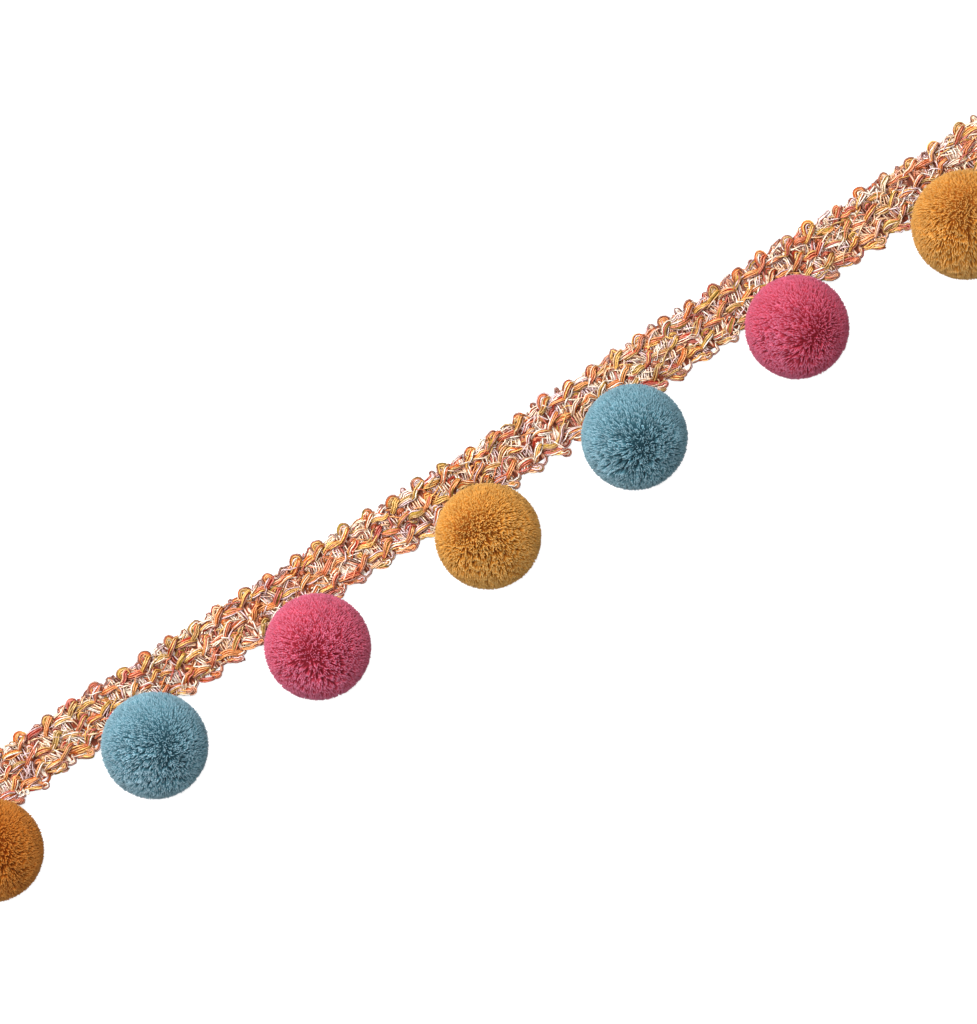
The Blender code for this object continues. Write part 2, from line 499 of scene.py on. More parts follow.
KNOT = curl(KNOT_STALK, KNOT_MIDDLE, radius=0.6, start=130, end=-245, high=1.9, low=1.4, corners=8, tall=0.7)
LOW_LOOP = arch(middle=-1.1, foot=-0.7, half_width=1.5, top=-2.2, low=0.9, high=1.4)
INNER_RISE = ((-0.6, -1.9, 0.95), (1.6, -0.3, 1.05), (3.6, 1.6, 0.95))
INNER = ((0.6, 1.7, 0.95), (2.4, 0.4, 1.15), (4.6, -1.5, 0.95))
RISING_STRAY = ((-1.6, -1.0, 1.5), (-0.6, -0.2, 2.4), (0.5, 0.5, 2.4), (1.6, 0.9, 1.5))
FALLING_STRAY = ((-1.7, 0.8, 1.3), (-0.6, 0.6, 2.1), (0.6, 0.0, 2.1), (1.7, -0.6, 1.3))
BACK_PETAL = ((-2.6, 1.0, 0.6), (-1.0, 0.5, 0.24), (0.6, -0.4, 0.24), (1.8, -0.9, 0.6))
BACK_LEG = ((0.2, -0.9, 0.6), (1.6, -0.4, 0.3), (3.2, 0.5, 0.3), (4.6, 0.9, 0.6))

WARM = ("amber", "amber", "amber", "gold", "gold", "gold", "gold", "olive", "olive", "ember", "ember", "red")
RUSSET = ("red", "red", "ember", "ember", "amber", "gold", "rose")
TIP_DYES = ("amber", "olive", "olive", "ember", "red", "rose", "umber")
# Darker dyes for the strands that lie deep inside the braid: partly their own colour, partly painted shade.
SHADED = ("umber", "umber", "red", "ember", "amber", "olive", "rose")
PALE = ("cream", "cream", "cream", "pearl", "pearl", "peach", "lilac", "lilac")
WISPS = ("lilac", "pearl", "pearl", "pearl", "cream", "plum", "umber", "rose")
RUNG_DYES = ("umber", "umber", "umber", "slate", "red", "rose", "lilac", "cream")
BUNDLES = (
    Bundle("petals", ROW_FEET, PETAL, 3, 0.48, 0.12, 0.45, 1.0, 10, 5, WARM, 0.2),
    Bundle("arcs", ROW_FEET[:2], ARC, 3, 0.44, 0.0, 0.9, 0.7, 11, 5, RUSSET, 0.22),
    Bundle("legs", ROW_FEET, LEG, 4, 0.45, 0.15, 0.55, 1.0, 8, 5, WARM, 0.3),
    Bundle("crowns", ROW_FEET[:1], CROWN, 3, 0.46, 0.1, 0.7, 0.65, 12, 5, WARM, 0.18),
    Bundle("crown_hearts", ROW_FEET[:1], HEART, 4, 0.42, 0.1, 0.9, 0.6, 8, 4, WARM, 0.3),
    Bundle("edge_loops", ROW_FEET[:1], EDGE_LOOP, 3, 0.38, 0.0, 0.9, 0.4, 11, 5, WISPS, 0.15),
    Bundle("low_legs", ROW_FEET[2:], LOW_LEG, 3, 0.45, 0.1, 0.6, 0.9, 8, 5, WARM, 0.3),
    Bundle("edge_floats", ROW_FEET[:1], EDGE_FLOAT, 3, 0.45, 0.0, 0.7, 1.0, 7, 5, WISPS, 0.15),
    Bundle("tips", ROW_FEET[2:], TIP, 3, 0.46, 0.1, 0.7, 0.7, 7, 5, WARM, 0.22),
    Bundle("knots", ROW_FEET[2:], KNOT, 3, 0.42, 0.1, 0.95, 0.3, 14, 5, TIP_DYES, 0.25),
    Bundle("low_loops", ROW_FEET[2:], LOW_LOOP, 2, 0.5, 0.0, 0.8, 0.7, 10, 5, WISPS, 0.3),
    Bundle("inner_floats", ROW_FEET, INNER, 5, 0.48, 0.0, 0.8, 1.0, 4, 4, SHADED, 0.5),
    Bundle("inner_rises", ROW_FEET[:2], INNER_RISE, 6, 0.48, 0.0, 0.8, 1.0, 4, 4, SHADED, 0.5),
    Bundle("back_petals", ROW_FEET, BACK_PETAL, 5, 0.5, 0.0, 0.5, 1.0, 5, 4, WARM, 0.3),
    Bundle("back_legs", ROW_FEET, BACK_LEG, 5, 0.5, 0.0, 0.5, 1.0, 5, 4, WARM, 0.4),
)
# The bundles that have a dark core inside: a flattened tube whose darkness is painted shade between and
# beside the strands.
CORED = (
    "petals", "arcs", "legs", "crowns", "edge_loops", "edge_floats", "low_legs", "tips", "knots", "low_loops",
)
# In these bundles one edge strand, first or last of those side by side, has the dye named in this
# share of the stitches: a dark line of painted shadow along the bundle's edge.
SHADOW_RIMS = {
    "crowns": (-1, "umber", 0.8),
    "edge_loops": (-1, "plum", 0.85),
    "arcs": (-1, "umber", 0.7),
    "knots": (-1, "umber", 0.8),
    "low_loops": (0, "plum", 0.85),
    "petals": (0, "umber", 0.45),
    "legs": (0, "umber", 0.5),
    "low_legs": (0, "umber", 0.45),
    "tips": (0, "umber", 0.4),
}
# A core is this much wider than its bundle on each side, so that its painted shade shows as a dark line along
# the bundle's edges; it lies this far below the bundle and is flattened.
CORE_EXTRA = 0.2
CORE_DROP = 0.26
CORE_FLAT = 0.4
CORE_SIDES = 6

# How uneven a bundle is from stitch to stitch: its size and its points, along, across and up, then
# its place, slant, fullness, roll and tilt. Narrowing is how sharply it thins towards its ends. The
# last three are each strand's own slow wave: its size, its turns and how much of it goes upwards.
SIZE_SPREAD = (0.07, 0.07, 0.03)
POINT_SPREAD = (0.22, 0.19, 0.12)
PLACE_SPREAD = 0.16
SLANT_SPREAD = 0.1
FULLNESS = (0.88, 1.15)
NARROWING = 0.7
ROLL_SPREAD, TILT_SPREAD = 0.6, 0.2
WAVE_SPREAD = 0.12
WAVE_SWINGS = (0.3, 1.1)
WAVE_UPWARDS = 0.7

# How many strays rise and how many fall, their sizes, and the heights and places they keep to.
STRAYS = 190
STRAY_SIZES = (0.7, 1.25)
STRAY_SPREAD = 0.22
STRAY_HEIGHTS = (1.0, 2.7)
STRAY_MARGIN = 4.0
STRAY_ACROSS = (-4.6, 5.2)
STRAY_STEPS = 7

# The middle and the radius of each loose white loop, and its stalk from that middle.
LOOSE_LOOPS = ((-124.2, 4.1, 0.6), (-123.0, 3.9, 0.55), (79.3, 6.5, 0.7), (78.2, 5.1, 0.65), (77.4, 3.8, 0.6))
LOOP_STALK = np.array([(-0.4, 2.2, 1.0), (-0.5, 1.2, 1.5)])
LOOP_SPREAD = (0.12, 0.12, 0.05)
LOOP_STEPS = 16
LOOP_DYES = ("pearl", "pearl", "cream")

# A stitch's rungs, along from its top loop.
RUNG_PLACES = (1.7, 2.35, 3.0, 3.65, 4.3, 4.95, 5.6)
# Where rungs start, across the braid, and their length as a share of the full one.
TOP_RUNGS = ROW_FEET[0] + 2.3
RUNG_GAPS = ((ROW_FEET[0], 1.0), (ROW_FEET[1], 1.0), (TOP_RUNGS, 0.5), (ROW_FEET[2], 0.42))
RUNG_SPREAD = 0.14
RUNG_STEPS = 5
RUNGS_KEPT = 0.85
LADDERS_KEPT = 0.94
LADDER_SLANT = 0.3

# The strands of the cut ends. The last two are how far they stray, inside and at the cut.
END_MARGIN = 0.5
END_LENGTH = 8.0
END_LAYERS = (0.42, 1.1, 1.5)
END_ACROSS = np.arange(-5.45, 5.5, 0.435)
END_POINTS, END_STEPS = 5, 9
END_SPREAD, END_CUT_SPREAD = (0.15, 0.22, 0.12), (0.12, 0.06, 0.05)

GROUND_MARGIN = 0.4
GROUND_STATIONS = 181
GROUND_SHADE = 0.96
# The ground strip's outline, aside and up.
GROUND_SECTION = np.array([(-5.3, 0.6), (5.3, 0.6), (5.6, 0.7), (5.3, 0.85), (-5.3, 0.85), (-5.6, 0.7)])


def stitch_places():
    """Where each stitch's top loop sits along the braid: an even pitch, a slow drift and a slight jitter.

    The drift grows and fades once, as a sine squared.
    """
    first = np.ceil((TAPE_LOW[0] + ROOM_BEFORE - FIRST_LOOP) / STITCH)
    last = np.floor((TAPE_HIGH[0] - ROOM_AFTER - FIRST_LOOP) / STITCH)
    even = FIRST_LOOP + STITCH * np.arange(first, last + 1)
    share = np.clip((even - DRIFT_START) / (DRIFT_END - DRIFT_START), 0.0, 1.0)
    return even + DRIFT * np.sin(np.pi * share) ** 2 + draw.normal(0.0, STITCH_JITTER, len(even))


def plait(bundle, stitches):
    """Paths of a bundle's strands in every row and stitch, and the path and half width of its core.

    The bundle's own path is repeated, with its size, slant and every point a little uneven. Its
    strands lie a pitch apart across the path, closer together towards its ends. The bundle rolls
    a little from one side to the other, and each strand also strays on a slow wave of its own.
    """
    rows = np.repeat(bundle.rows, len(stitches))
    along = np.tile(stitches, len(bundle.rows))
    count = len(along)
    control = np.array(bundle.path)[None] * draw.normal(1.0, SIZE_SPREAD, (count, 1, 3))
    control = control + bundle.loose * draw.normal(0.0, POINT_SPREAD, (count, len(bundle.path), 3))
    control[..., 0] += draw.normal(0.0, PLACE_SPREAD, (count, 1))
    slant = draw.normal(0.0, SLANT_SPREAD, (count, 1))
    control[..., 1] += slant * control[..., 0]
    path = np.einsum("sc,ncd->nsd", spline_weights(len(bundle.path), bundle.steps), control)
    ahead = unit(np.gradient(path, axis=1))
    beside = unit(np.cross((0.0, 0.0, 1.0), ahead))
    above = np.cross(ahead, beside)
    share = np.linspace(0.0, 1.0, bundle.steps)
    narrowing = bundle.taper + (1.0 - bundle.taper) * np.sin(np.pi * share) ** NARROWING
    spread = narrowing * draw.uniform(*FULLNESS, (count, 1))
    roll = draw.normal(0.0, ROLL_SPREAD, (count, 1)) * np.cos(np.pi * share)
    roll = roll + draw.normal(0.0, TILT_SPREAD, (count, 1))
    half = (bundle.strands - 1) / 2.0
    places = np.arange(bundle.strands) - half
    across = (places * bundle.pitch)[:, None]
    up = (bundle.dome * (1.0 - (places / half) ** 2))[:, None]
    leaning, upright = (spread * np.sin(roll))[:, None], (spread * np.cos(roll))[:, None]
    each = (2, count, bundle.strands, 1)
    size = draw.normal(0.0, WAVE_SPREAD, each)
    swings = draw.uniform(*WAVE_SWINGS, each)
    wave = size * np.sin(TURN * swings * share + draw.uniform(0.0, TURN, each))
    sideways = across * upright - up * leaning + wave[0]
    upwards = across * leaning + up * upright + WAVE_UPWARDS * wave[1]
    strands = path[:, None] + sideways[..., None] * beside[:, None]
    strands = strands + upwards[..., None] * above[:, None]
    core = path - CORE_DROP * above
    strands[..., 0] += along[:, None, None]
    strands[..., 1] += rows[:, None, None]
    core[..., 0] += along[:, None]
    core[..., 1] += rows[:, None]
    return strands.reshape(-1, bundle.steps, 3), core, half * bundle.pitch * spread + CORE_EXTRA


def dye_strands(strands, together, vivid, pale_share):
    """A dye for each strand at a few even places along it; so many strands together are one bundle.

    Some strands are pale and the rest vivid. At each place the dye with the highest sum wins: how
    common it is, its patches over the braid, and the tastes of the bundle, the strand and the
    place. So strands that lie near each other often share one, as in a yarn dyed in patches.
    """
    count = len(strands)
    middle = strands.mean(axis=1)[:, :2]
    bundles = -(-count // together)
    edge = np.linspace(-1.0, 1.0, together) ** 2 if together > 1 else np.full(1, LONE_STRAND_EDGE)
    pale_here = pale_share * draw.choice(PALE_MULTIPLES, (bundles, 1))
    pale_here = pale_here * (PALE_INSIDE + PALE_MORE_AT_EDGE * edge)
    is_pale = draw.random(count) < pale_here.ravel()[:count]
    places = np.empty((DYE_PLACES, count, 3))
    for names, chosen in ((vivid, ~is_pale), (PALE, is_pale)):
        kinds = sorted(set(names), key=DYE_NAMES.index)
        rows = [DYE_NAMES.index(kind) for kind in kinds]
        table = np.array([linear(DYES[kind]) for kind in kinds])
        waves = np.einsum("dwk,nk->ndw", PATCH_WAVES[rows], middle) + PATCH_PHASES[rows]
        common = np.log([names.count(kind) for kind in kinds])
        favour = common + PATCHINESS * np.cos(waves).sum(axis=-1) / np.sqrt(PATCH_COUNT / 2.0)
        taste = draw.gumbel(0.0, BUNDLE_TASTE, (bundles, len(kinds)))
        favour = favour + np.repeat(taste, together, axis=0)[:count]
        strand_taste = draw.gumbel(0.0, STRAND_TASTE, favour.shape)
        for place in places:
            picks = np.argmax(favour + strand_taste + draw.gumbel(0.0, PLACE_TASTE, favour.shape), axis=1)
            place[chosen] = table[picks][chosen]
    return places * draw.uniform(*DYE_STRENGTHS, (DYE_PLACES, count, 1))


def lay_on_tape(strands, spare=0.0):
    """Carry strands on to the braid's slightly swaying centreline, and press them under every pompom.

    A place that would lie inside a pompom's pile sinks below it. Where there is no room left
    below, it also moves straight away from the pompom's upright axis. Spare is added to the gap.
    No place sinks below the lowest a strand's middle may lie.
    """
    placed = strands.copy()
    placed[..., 1] += centre_y(strands[..., 0])
    for centre, radius in POMPOM_PLACES:
        away = placed[..., :2] - centre[:2]
        distance = np.maximum(np.linalg.norm(away, axis=-1), TINY)
        pile = radius * PILE_REACH + SEAT_GAP + spare
        clear = np.sqrt(pile**2 - (centre[2] - PRESSED) ** 2)
        placed[..., :2] += away * (np.maximum(clear / distance, 1.0) - 1.0)[..., None]
        distance = np.maximum(distance, clear)
        under = np.where(distance < pile, centre[2] - np.sqrt(np.maximum(pile**2 - distance**2, 0.0)), np.inf)
        placed[..., 2] = np.minimum(placed[..., 2], under)
    placed[..., 2] = np.maximum(placed[..., 2], LOWEST + spare)
    return placed


def depth_shade(z):
    """How much light reaches a height, rising evenly from the ground strip's to all of it at either face."""
    rise = np.where(z > GROUND_Z, (z - GROUND_Z) / FRONT_RISE, (GROUND_Z - z) / BACK_DROP)
    return DEEP_SHADE + (1.0 - DEEP_SHADE) * np.clip(rise, 0.0, 1.0)


def openness(points):
    """How open to the light the braid is sideways: 0 over most of its width, 1 at both edges."""
    sideways = np.abs(points[:, 1] - centre_y(points[:, 0]))
    return np.clip((sideways - OPEN_FROM) / (OPEN_WHOLLY - OPEN_FROM), 0.0, 1.0)


def strand_piece(name, strands, material, vivid, pale_share, together=1, sides=5):
    """All the strands of one kind as one mesh of tubes, with a painted highlight on their ridges and painted
    shade on their flanks.

    The painted flank shade is lighter at the braid's open edges. A dye fades evenly from one place to the
    next.
    """
    places = dye_strands(strands, together, vivid, pale_share)
    # Painted shadow: one edge strand of the bundle is dyed dark.
    if name in SHADOW_RIMS:
        strand, shadow_dye, rim_share = SHADOW_RIMS[name]
        rim = places[:, strand % together::together]
        rim[:, draw.random(rim.shape[1]) < rim_share] = linear(DYES[shadow_dye])
    along = np.linspace(0.0, DYE_PLACES - 1.0, strands.shape[1])
    shares = np.clip(1.0 - np.abs(along - np.arange(DYE_PLACES)[:, None]), 0.0, 1.0)
    rings = np.repeat(np.einsum("ps,pnk->nsk", shares, places), sides, axis=1)
    dye = np.concatenate([rings, places[0][:, None], places[-1][:, None]], axis=1).reshape(-1, 3)
    radius = STRAND_RADIUS * draw.uniform(*STRAND_SIZES, (len(strands), 1))
    radius = radius * draw.uniform(*STRAND_SWELLS, strands.shape[:2])
    shape = tubes(lay_on_tape(strands), radius, sides)
    # Painted highlight on each strand's ridge and painted shade on its flanks, lifted at the open edges; then
    # painted shade by depth.
    ridge = np.maximum(shape.ridge**2, OPEN_EDGE * openness(shape.points))[:, None]
    highlit = dye * (1.0 - HIGHLIGHT_SHARE) + HIGHLIGHT_COLOUR * HIGHLIGHT_SHARE
    dye = dye * FLANK_SHADE * (1.0 - ridge) + highlit * ridge
    dye = dye * depth_shade(shape.points[:, 2:])
    uv = np.concatenate([shape.quad_uv, shape.fan_uv])
    return make_piece(name, shape.points, (shape.quads, shape.fans), dye, material, uv=uv)


def core_piece(name, path, half_width, material):
    """The dark middles of the bundles of one kind, each a flattened tube of yarn darkened as painted shade.
    """
    kinds = np.array([linear(DYES[kind]) for kind in CORE_DYES]) * CORE_SHADE
    shape = tubes(lay_on_tape(path, CORE_EXTRA), half_width, CORE_SIDES, CORE_FLAT)
    each = path.shape[1] * CORE_SIDES + 2
    dye = np.repeat(kinds[draw.integers(0, len(kinds), len(path))], each, axis=0)
    uv = np.concatenate([shape.quad_uv, shape.fan_uv])
    return make_piece(name, shape.points, (shape.quads, shape.fans), dye, material, uv=uv)


def build_strays(material):
    """Single loose strands on top of the braid, rising or falling to the right."""
    strands = []
    for path in (RISING_STRAY, FALLING_STRAY):
        control = np.array(path)[None] * draw.uniform(*STRAY_SIZES, (STRAYS, 1, 3))
        control = control + draw.normal(0.0, STRAY_SPREAD, (STRAYS, len(path), 3))
        control[..., 2] = np.clip(control[..., 2], *STRAY_HEIGHTS)
        control[..., 0] += draw.uniform(TAPE_LOW[0] + STRAY_MARGIN, TAPE_HIGH[0] - STRAY_MARGIN, (STRAYS, 1))
        control[..., 1] += draw.uniform(*STRAY_ACROSS, (STRAYS, 1))
        strands.append(np.einsum("sc,ncd->nsd", spline_weights(len(path), STRAY_STEPS), control))
    return strand_piece("strays", np.concatenate(strands), material, WARM, pale_share=0.6)


def build_loose_loops(material):
    """The few white loops of binding thread that stand out from the braid beside two of the pompoms."""
    strands = []
    for x, y, radius in LOOSE_LOOPS:
        stalk = LOOP_STALK + (x, y, 0.0)
        control = curl(stalk, (x, y), radius, start=150, end=-250, high=1.8, low=1.3)
        control = control + draw.normal(0.0, LOOP_SPREAD, control.shape)
        control[:, 1] -= centre_y(control[:, 0])
        strands.append(spline_weights(len(control), LOOP_STEPS) @ control)
    return strand_piece("loose_loops", np.array(strands), material, LOOP_DYES, pale_share=0.1)


def build_rungs(stitches, material):
    """The short, mostly pale strands that cross from row to row under the legs, and at both edges.

    The rungs of one gap in one stitch are a ladder, and share a slant. Some ladders and some
    single rungs are left out.
    """
    starts, lengths = np.array(RUNG_GAPS).T
    each = len(RUNG_PLACES)
    ladders = len(starts) * len(stitches)
    rungs = ladders * each
    base = np.array(RUNG)[None] + draw.normal(0.0, RUNG_SPREAD, (rungs, len(RUNG), 3))
    base[..., 1] *= np.repeat(lengths, len(stitches) * each)[:, None]
    slant = np.repeat(draw.normal(0.0, LADDER_SLANT, ladders), each)
    base[..., 0] += base[..., 1] * slant[:, None]
    base[..., 0] += np.tile(np.repeat(stitches, each), len(starts))[:, None]
    base[..., 0] += np.tile(RUNG_PLACES, ladders)[:, None]
    base[..., 1] += np.repeat(starts, len(stitches) * each)[:, None]
    whole = draw.random(ladders) < LADDERS_KEPT
    kept = np.repeat(whole, each) & (draw.random(rungs) < RUNGS_KEPT)
    strands = np.einsum("sc,ncd->nsd", spline_weights(len(RUNG), RUNG_STEPS), base[kept])
    return strand_piece("rungs", strands, material, RUNG_DYES, pale_share=0.68)


def build_ends(material):
    """The cut ends: warm and pale strands that run on side by side, in layers, from the last stitches."""
    strands = []
    count = len(END_ACROSS)
    for end, inward in ((TAPE_LOW[0] + END_MARGIN, 1.0), (TAPE_HIGH[0] - END_MARGIN, -1.0)):
        for height in END_LAYERS:
            control = np.zeros((count, END_POINTS, 3))
            control[..., 0] = end + inward * np.linspace(0.0, END_LENGTH, END_POINTS)
            control[..., 1] = END_ACROSS[:, None]
            control[..., 2] = height
            control[:, 1:] += draw.normal(0.0, END_SPREAD, (count, END_POINTS - 1, 3))
            control[:, 0] += draw.normal(0.0, END_CUT_SPREAD, (count, 3)) * (inward, 1.0, 1.0)
            strands.append(np.einsum("sc,ncd->nsd", spline_weights(END_POINTS, END_STEPS), control))
    return strand_piece("cut_ends", np.concatenate(strands), material, WARM, pale_share=0.45, together=4)


def build_ground(material):
    """A thin strip of striped yarn, closed all round, under every strand; it shows only in the gaps."""
    stations = np.linspace(TAPE_LOW[0] + GROUND_MARGIN, TAPE_HIGH[0] - GROUND_MARGIN, GROUND_STATIONS)
    sides = len(GROUND_SECTION)
    points = np.empty((GROUND_STATIONS, sides, 3))
    points[..., 0] = stations[:, None]
    points[..., 1] = centre_y(stations)[:, None] + GROUND_SECTION[:, 0]
    points[..., 2] = GROUND_SECTION[:, 1]
    side = np.arange(sides)
    caps = np.stack([side, (GROUND_STATIONS - 1) * sides + side[::-1]])
    faces = (quads_between(GROUND_STATIONS, sides), caps)
    dye = np.full((points.size // 3, 3), GROUND_SHADE)
    return make_piece("braid_ground", points.reshape(-1, 3), faces, dye, material, smooth=False)


def build_braid():
    """The whole braid; its pieces all lie on the thin ground strip."""
    yarn = strand_material()
    shadow = core_material()
    stitches = stitch_places()
    ground = build_ground(backing_material())
    laid = []
    for bundle in BUNDLES:
        strands, core, half_width = plait(bundle, stitches)
        kind = (bundle.vivid, bundle.pale, bundle.strands, bundle.sides)
        laid.append(strand_piece(bundle.name, strands, yarn, *kind))
        if bundle.name in CORED:
            laid.append(core_piece(bundle.name + "_core", core, half_width, shadow))
    laid.append(build_rungs(stitches, yarn))
    laid.append(build_strays(yarn))
    laid.append(build_ends(yarn))
    laid.append(build_loose_loops(yarn))
    return ground, laid


# ---------------------------------------------------------------- the pompoms

# The dye at a tuft's root, at its shoulder and at its cut tip, the tint of its fuzz, and how
# strongly light and dark tufts and the gaps between them differ. The root's darker dye is painted
# shade deep in the pile; the tip's paler dye is partly the cut ends' own paleness and partly a
# painted highlight.
Pile = namedtuple("Pile", "root shoulder tip haze depth")
PILES = {
    "mustard": Pile(Yarn(152, 64, 6), Yarn(189, 121, 43), Yarn(222, 180, 112), (1.0, 0.8, 0.45), 0.65),
    "blue": Pile(Yarn(24, 70, 86), Yarn(81, 123, 136), Yarn(170, 198, 212), (0.85, 0.92, 0.95), 0.85),
    "pink": Pile(Yarn(150, 24, 38), Yarn(180, 60, 80), Yarn(216, 130, 164), (1.0, 0.6, 0.76), 0.5),
}
# How far tufts, clumps, locks and tips stray from their even places, as shares of the radius.
TUFT_SPREAD, CLUMP_SPREAD, LOCK_SPREAD, TIP_SPREAD = 0.01, 0.03, 0.05, 0.022
# From here on a calm value holds all over, and a ruffled one counts more the more ruffled the pile is.
CALM_PULL, RUFFLED_PULL, LOCK_PULL = 0.05, 0.38, 0.18
CLUMP_STRAY = 0.025
FLOW_WAVES = 7
FLOW_PITCH = 2.4
FLOW_STRENGTH = 0.022
CALM_FLOW = 0.5
CLUMP_SHADES, LOCK_SHADES = 0.14, 0.09
CALM_SHADES, RUFFLED_SHADES = 0.5, 0.7
REACH, REACH_SPREAD = 1.015, 0.008
PARTED, PARTING_LEAN = 0.03, 3.0
# A tuft's corners are its root, those of a ring at its shoulder, and its tip.
TUFT_RING = 3
TUFT_CORNERS = TUFT_RING + 2
TUFT_FANS = np.array([(0, 2, 1), (0, 3, 2), (0, 1, 3), (1, 2, 4), (2, 3, 4), (3, 1, 4)])
TUFT_RADIUS = 0.175
TUFT_SIZES = (0.8, 1.15)
CALM_THICKNESS, RUFFLED_THINNING = 1.2, 0.35
SHOULDER = 0.83
# How far the root's painted shade and the tip's paler, partly painted, dye stray from the shoulder's dye.
CALM_CONTRAST, RUFFLED_CONTRAST = 0.55, 0.6
TUFT_LIGHT, TUFT_LIGHT_SPREAD = 0.925, 0.06
LIGHT_LIMITS = (0.6, 1.4)
# The pile's core leans this much towards the root's dye and takes painted shade: a share of the light, darker
# still where the pile is ruffled.
CALM_ROOTS, RUFFLED_ROOTS = 0.3, 0.4
PILE_CORE_SHADE, RUFFLED_CORE_SHADE = 0.8, 0.6
SOFTNESS = 0.42
SIDES_LEAN = 0.3
LIT_FROM_ABOVE = 0.6


def even_directions(count):
    """Directions spread evenly over a sphere along a spiral of the golden angle."""
    rise = 1.0 - (2.0 * np.arange(count) + 1.0) / count
    round_way = np.arange(count) * np.pi * (3.0 - np.sqrt(5.0))
    flat = np.sqrt(1.0 - rise**2)
    return np.column_stack([flat * np.cos(round_way), flat * np.sin(round_way), rise])


def core_grid(rings=16, segments=24):
    """A ball of radius one as rings of corners between two poles, with its quads and end fans."""
    polar = np.linspace(0.0, np.pi, rings + 1)[1:-1, None]
    turn = np.arange(segments) * TURN / segments
    wide = np.sin(polar)
    grid = np.stack(np.broadcast_arrays(wide * np.cos(turn), wide * np.sin(turn), np.cos(polar)), -1)
    points = np.concatenate([grid.reshape(-1, 3), [(0, 0, 1), (0, 0, -1)]])
    side = np.arange(segments)
    beside = (side + 1) % segments
    last = (rings - 2) * segments
    top = np.stack([np.full(segments, len(points) - 2), side, beside], -1)
    bottom = np.stack([np.full(segments, len(points) - 1), last + beside, last + side], -1)
    return points, quads_between(rings - 1, segments), np.concatenate([top, bottom])


def ruffled_at(ways):
    """How ruffled the pile is in each direction, from 0 to 1: most on the upper face, away from the braid."""
    return np.clip(RUFFLED_SLOPE * ways @ RUFFLED_SIDE - RUFFLED_OFFSET, 0.0, 1.0)


def tuft_ways(comb, floor_share, full, draw):
    """Where the root and the tip of every tuft point, about the pompom's centre, with reach and shade.

    Tufts start evenly spread and point outwards. Their tips are combed one way all over, flow
    this way and that on a few slow waves, and are drawn towards the middle of a clump and of a
    larger lock, so that dark partings open between them; the roots part along one line too. Reach
    is a share of the radius, cut short where a tuft would pass through the floor. Shade is how
    much lighter or darker than the rest the clump and the lock are. The more ruffled the pile is,
    the further it leans and the more its shades differ. The numbers come from the pompom's draw.
    """
    out = unit(even_directions(TUFTS) + draw.normal(0.0, TUFT_SPREAD, (TUFTS, 3)))
    clumps = unit(even_directions(CLUMPS) + draw.normal(0.0, CLUMP_SPREAD, (CLUMPS, 3)))
    clump = np.argmax(out @ clumps.T, axis=1)
    locks = unit(even_directions(LOCKS) + draw.normal(0.0, LOCK_SPREAD, (LOCKS, 3)))
    lock = np.argmax(out @ locks.T, axis=1)
    ruffled = ruffled_at(out)[:, None]
    waves = np.cos(out @ draw.normal(0.0, FLOW_PITCH, (3, FLOW_WAVES)) + draw.uniform(0.0, TURN, FLOW_WAVES))
    flow = waves @ draw.normal(0.0, FLOW_STRENGTH, (FLOW_WAVES, 3)) * (CALM_FLOW + ruffled)
    lean = (CALM_PULL + RUFFLED_PULL * ruffled) * (clumps[clump] - out)
    lean = lean + LOCK_PULL * ruffled * (locks[lock] - out)
    lean = lean + ruffled * draw.normal(0.0, CLUMP_STRAY, (CLUMPS, 3))[clump]
    tip_way = unit(out + lean + flow + (*comb, 0.0) + draw.normal(0.0, TIP_SPREAD, (TUFTS, 3)))
    shade = draw.normal(0.0, CLUMP_SHADES, CLUMPS)[clump] + draw.normal(0.0, LOCK_SHADES, LOCKS)[lock]
    shade = shade * (CALM_SHADES + RUFFLED_SHADES * ruffled[:, 0])
    reach = full * REACH + draw.normal(0.0, REACH_SPREAD, (TUFTS, 1))
    reach = np.minimum(reach, floor_share / np.maximum(-tip_way[:, 2:], TINY))
    parting = unit(np.array([-PARTING_LEAN * comb[0], -PARTING_LEAN * comb[1], 1.0]))
    facing = np.clip(out @ parting, 0.0, 1.0)[:, None]
    root_way = unit(out + PARTED * ruffled * facing * (parting - out))
    return root_way, tip_way, reach, shade, ruffled


